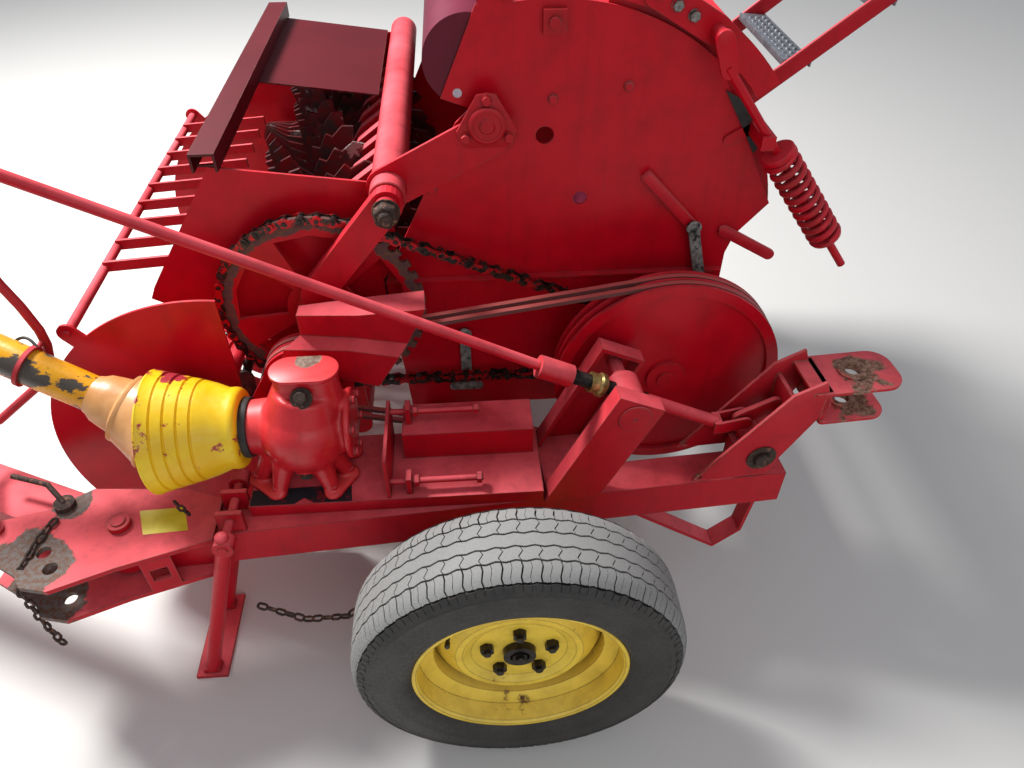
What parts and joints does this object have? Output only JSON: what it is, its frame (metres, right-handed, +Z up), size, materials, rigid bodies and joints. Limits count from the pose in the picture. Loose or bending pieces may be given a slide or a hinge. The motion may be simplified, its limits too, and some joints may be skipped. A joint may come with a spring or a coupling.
{
  "type": "round baler",
  "caption": "Trailed round baler with an offset swinging drawbar, gearbox, V-belt and chain drive, pickup with wind guard, serrated feed rotor, roller chamber and lifting tailgate.",
  "frame": {"origin": "on the ground under the middle of the overall length and width of the parked machine", "axes": "+X to the rear, +Y to the machine's right-hand side, +Z up"},
  "size_m": [3.0427, 2, 1.6538],
  "materials": {
    "red_paint": "worn satin",
    "gearbox_red": "gloss",
    "dark_steel": "greasy",
    "worn_steel": "worn",
    "cast": "worn",
    "galvanised": "dull",
    "yellow_paint": "satin",
    "yellow_plastic": "satin",
    "black_rubber": "matte",
    "tyre": "dusty"
  },
  "bodies": {
    "chassis": {"frame": "red_paint", "drawbar_head": "red_paint", "gear_platform": "red_paint", "trunnion_frame": "red_paint", "gearbox": "gearbox_red", "small_pulley": "red_paint", "belt_guard": "red_paint", "drive_belts": "black_rubber", "big_pulley": "red_paint", "drive_sprocket": "dark_steel", "feed_sprocket": "red_paint", "drive_chain": "dark_steel", "left_plate": "red_paint", "right_plate": "red_paint", "strut": "red_paint", "cross_tube": "red_paint", "bearings": "cast", "chamber_rollers": "worn_steel", "hood": "red_paint", "left_intake": "red_paint", "right_intake": "red_paint", "spring_bracket": "red_paint", "gate_spring": "dark_steel", "latches": "black_rubber", "pto_guard": "yellow_plastic", "pto_hoop": "red_paint", "lock_pin": "dark_steel", "crank_spindle": "dark_steel"},
    "left_wheel": {"left_tyre": "tyre", "left_rim": "yellow_paint", "left_hub": "cast"},
    "right_wheel": {"right_tyre": "tyre", "right_rim": "yellow_paint", "right_hub": "cast"},
    "tongue_body": {"tongue": "red_paint"},
    "stand": {"parking_stand": "red_paint"},
    "pickup": {"pickup_frame": "red_paint"},
    "reel": {"pickup_reel": "dark_steel"},
    "guard": {"wind_guard": "red_paint"},
    "rotor": {"feed_rotor": "worn_steel"},
    "gate": {"tailgate": "red_paint", "gate_rollers": "worn_steel"},
    "ladder_body": {"ladder": "galvanised"},
    "hitch": {"rear_hitch": "red_paint"},
    "pto": {"pto_shaft": "worn_steel"}
  },
  "joints": [
    {"name": "left_wheel_spin", "type": "hinge", "parent": "chassis", "child": "left_wheel", "pos_m": [0.275, -0.9025, 0.342], "axis": [0, 1, 0], "continuous": true},
    {"name": "right_wheel_spin", "type": "hinge", "parent": "chassis", "child": "right_wheel", "pos_m": [0.275, 0.9025, 0.342], "axis": [0, 1, 0], "continuous": true},
    {"name": "tongue_swing", "type": "hinge", "parent": "chassis", "child": "tongue_body", "pos_m": [-0.567, -0.654, 0.42], "axis": [0, 0, 1], "range_deg": [0, 70]},
    {"name": "stand_fold", "type": "hinge", "parent": "chassis", "child": "stand", "pos_m": [-0.325, -0.645, 0.5], "axis": [0, -1, 0], "range_deg": [0, 75]},
    {"name": "pickup_lift", "type": "hinge", "parent": "chassis", "child": "pickup", "pos_m": [-0.125, 0.24, 0.77], "axis": [0, 1, 0], "range_deg": [0, 15]},
    {"name": "reel_spin", "type": "hinge", "parent": "pickup", "child": "reel", "pos_m": [-0.385, 0.24, 0.335], "axis": [0, 1, 0], "continuous": true},
    {"name": "wind_guard_tilt", "type": "hinge", "parent": "pickup", "child": "guard", "pos_m": [-0.65, 0.18, 0.8], "axis": [0, -1, 0], "range_deg": [0, 45]},
    {"name": "feed_rotor_spin", "type": "hinge", "parent": "chassis", "child": "rotor", "pos_m": [-0.125, 0.24, 0.77], "axis": [0, 1, 0], "continuous": true},
    {"name": "tailgate_open", "type": "hinge", "parent": "chassis", "child": "gate", "pos_m": [0.265, 0.24, 1.452], "axis": [0, -1, 0], "range_deg": [0, 75]},
    {"name": "ladder_fold", "type": "hinge", "parent": "gate", "child": "ladder_body", "pos_m": [0.889, 0.194, 1.103], "axis": [0, 1, 0], "range_deg": [0, 110]},
    {"name": "hitch_tilt", "type": "hinge", "parent": "chassis", "child": "hitch", "pos_m": [0.83396, -0.56162, 0.548], "axis": [-0.068, 0.9977, 0], "range_deg": [-15, 15]},
    {"name": "pto_spin", "type": "hinge", "parent": "chassis", "child": "pto", "pos_m": [-0.60015, -0.49633, 0.7311], "axis": [-0.8758, 0.2184, 0.4305], "continuous": true}
  ]
}
